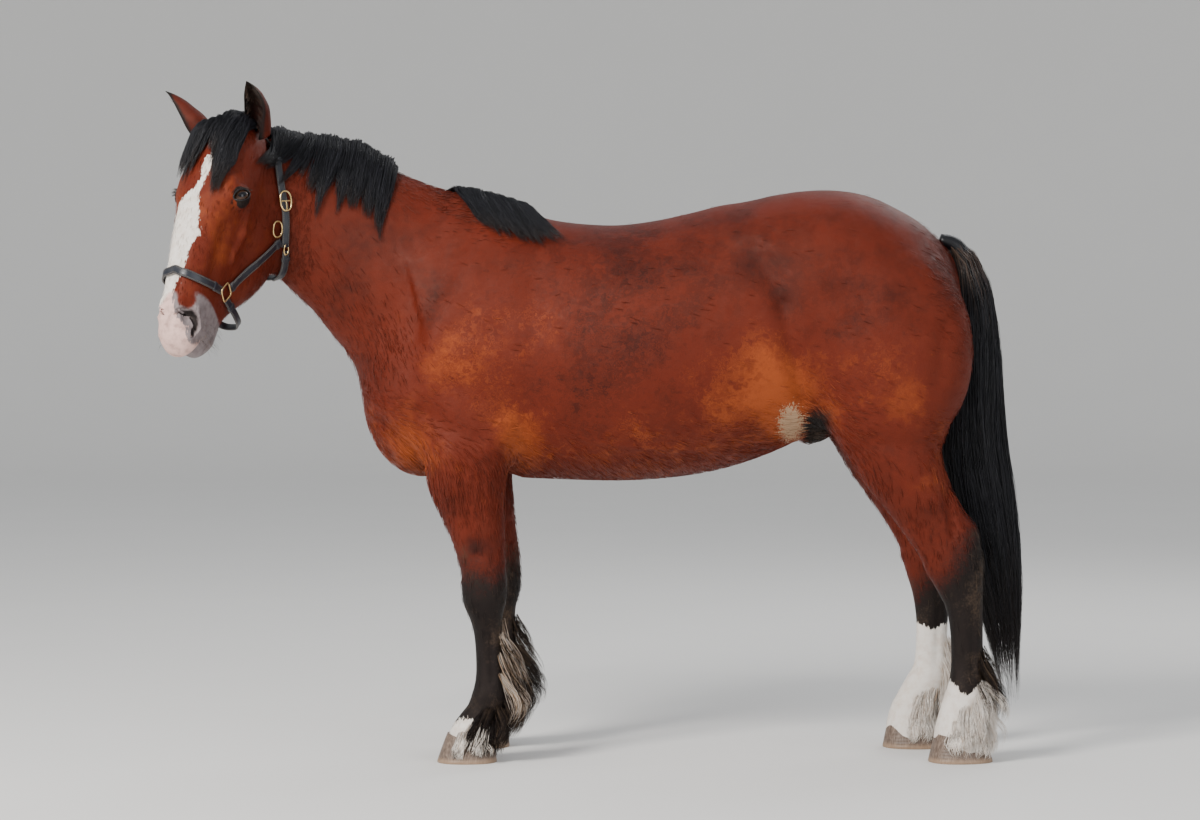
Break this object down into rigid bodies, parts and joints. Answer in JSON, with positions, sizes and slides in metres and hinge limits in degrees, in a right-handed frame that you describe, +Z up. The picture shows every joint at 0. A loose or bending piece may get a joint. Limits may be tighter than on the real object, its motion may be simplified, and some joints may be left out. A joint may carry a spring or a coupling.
{
  "type": "heavy horse",
  "caption": "Life-size heavy draught horse, standing square with its head turned to its left, with mane, full tail, feathered feet and a leather halter.",
  "frame": {"origin": "on the floor, under the middle of the horse's bounding box", "axes": "+X toward the tail (the horse faces -X), +Y toward the horse's right side, +Z up"},
  "size_m": [2.6368, 0.8734, 2.0824],
  "materials": {
    "bay_coat": "short smooth hair with a soft sheen",
    "black_hair": "long coarse hair with a soft sheen",
    "dark_leg": "short and long hair, matte",
    "white_leg": "short and long hair, matte",
    "hoof_horn": "dull horn",
    "eye_gloss": "wet gloss",
    "halter_leather": "oiled, low sheen",
    "brass": "polished"
  },
  "bodies": {
    "root": {"halter_chin_strap": "halter_leather", "halter_crown": "halter_leather", "halter_noseband": "halter_leather", "halter_throatlatch": "halter_leather", "head": "bay_coat", "left_buckle": "brass", "left_cheek_strap": "halter_leather", "left_ear": "bay_coat", "left_eye": "eye_gloss", "left_fore_cannon": "dark_leg", "left_fore_hoof": "hoof_horn", "left_forearm": "bay_coat", "left_gaskin": "bay_coat", "left_hind_cannon": "white_leg", "left_hind_hoof": "hoof_horn", "left_jaw_ring": "brass", "left_square_ring": "brass", "left_thigh": "bay_coat", "neck": "bay_coat", "right_buckle": "brass", "right_cheek_strap": "halter_leather", "right_ear": "bay_coat", "right_eye": "eye_gloss", "right_fore_cannon": "dark_leg", "right_fore_hoof": "hoof_horn", "right_forearm": "bay_coat", "right_gaskin": "bay_coat", "right_hind_cannon": "white_leg", "right_hind_hoof": "hoof_horn", "right_jaw_ring": "brass", "right_square_ring": "brass", "right_thigh": "bay_coat", "tail": "black_hair", "torso": "bay_coat"}
  },
  "joints": []
}
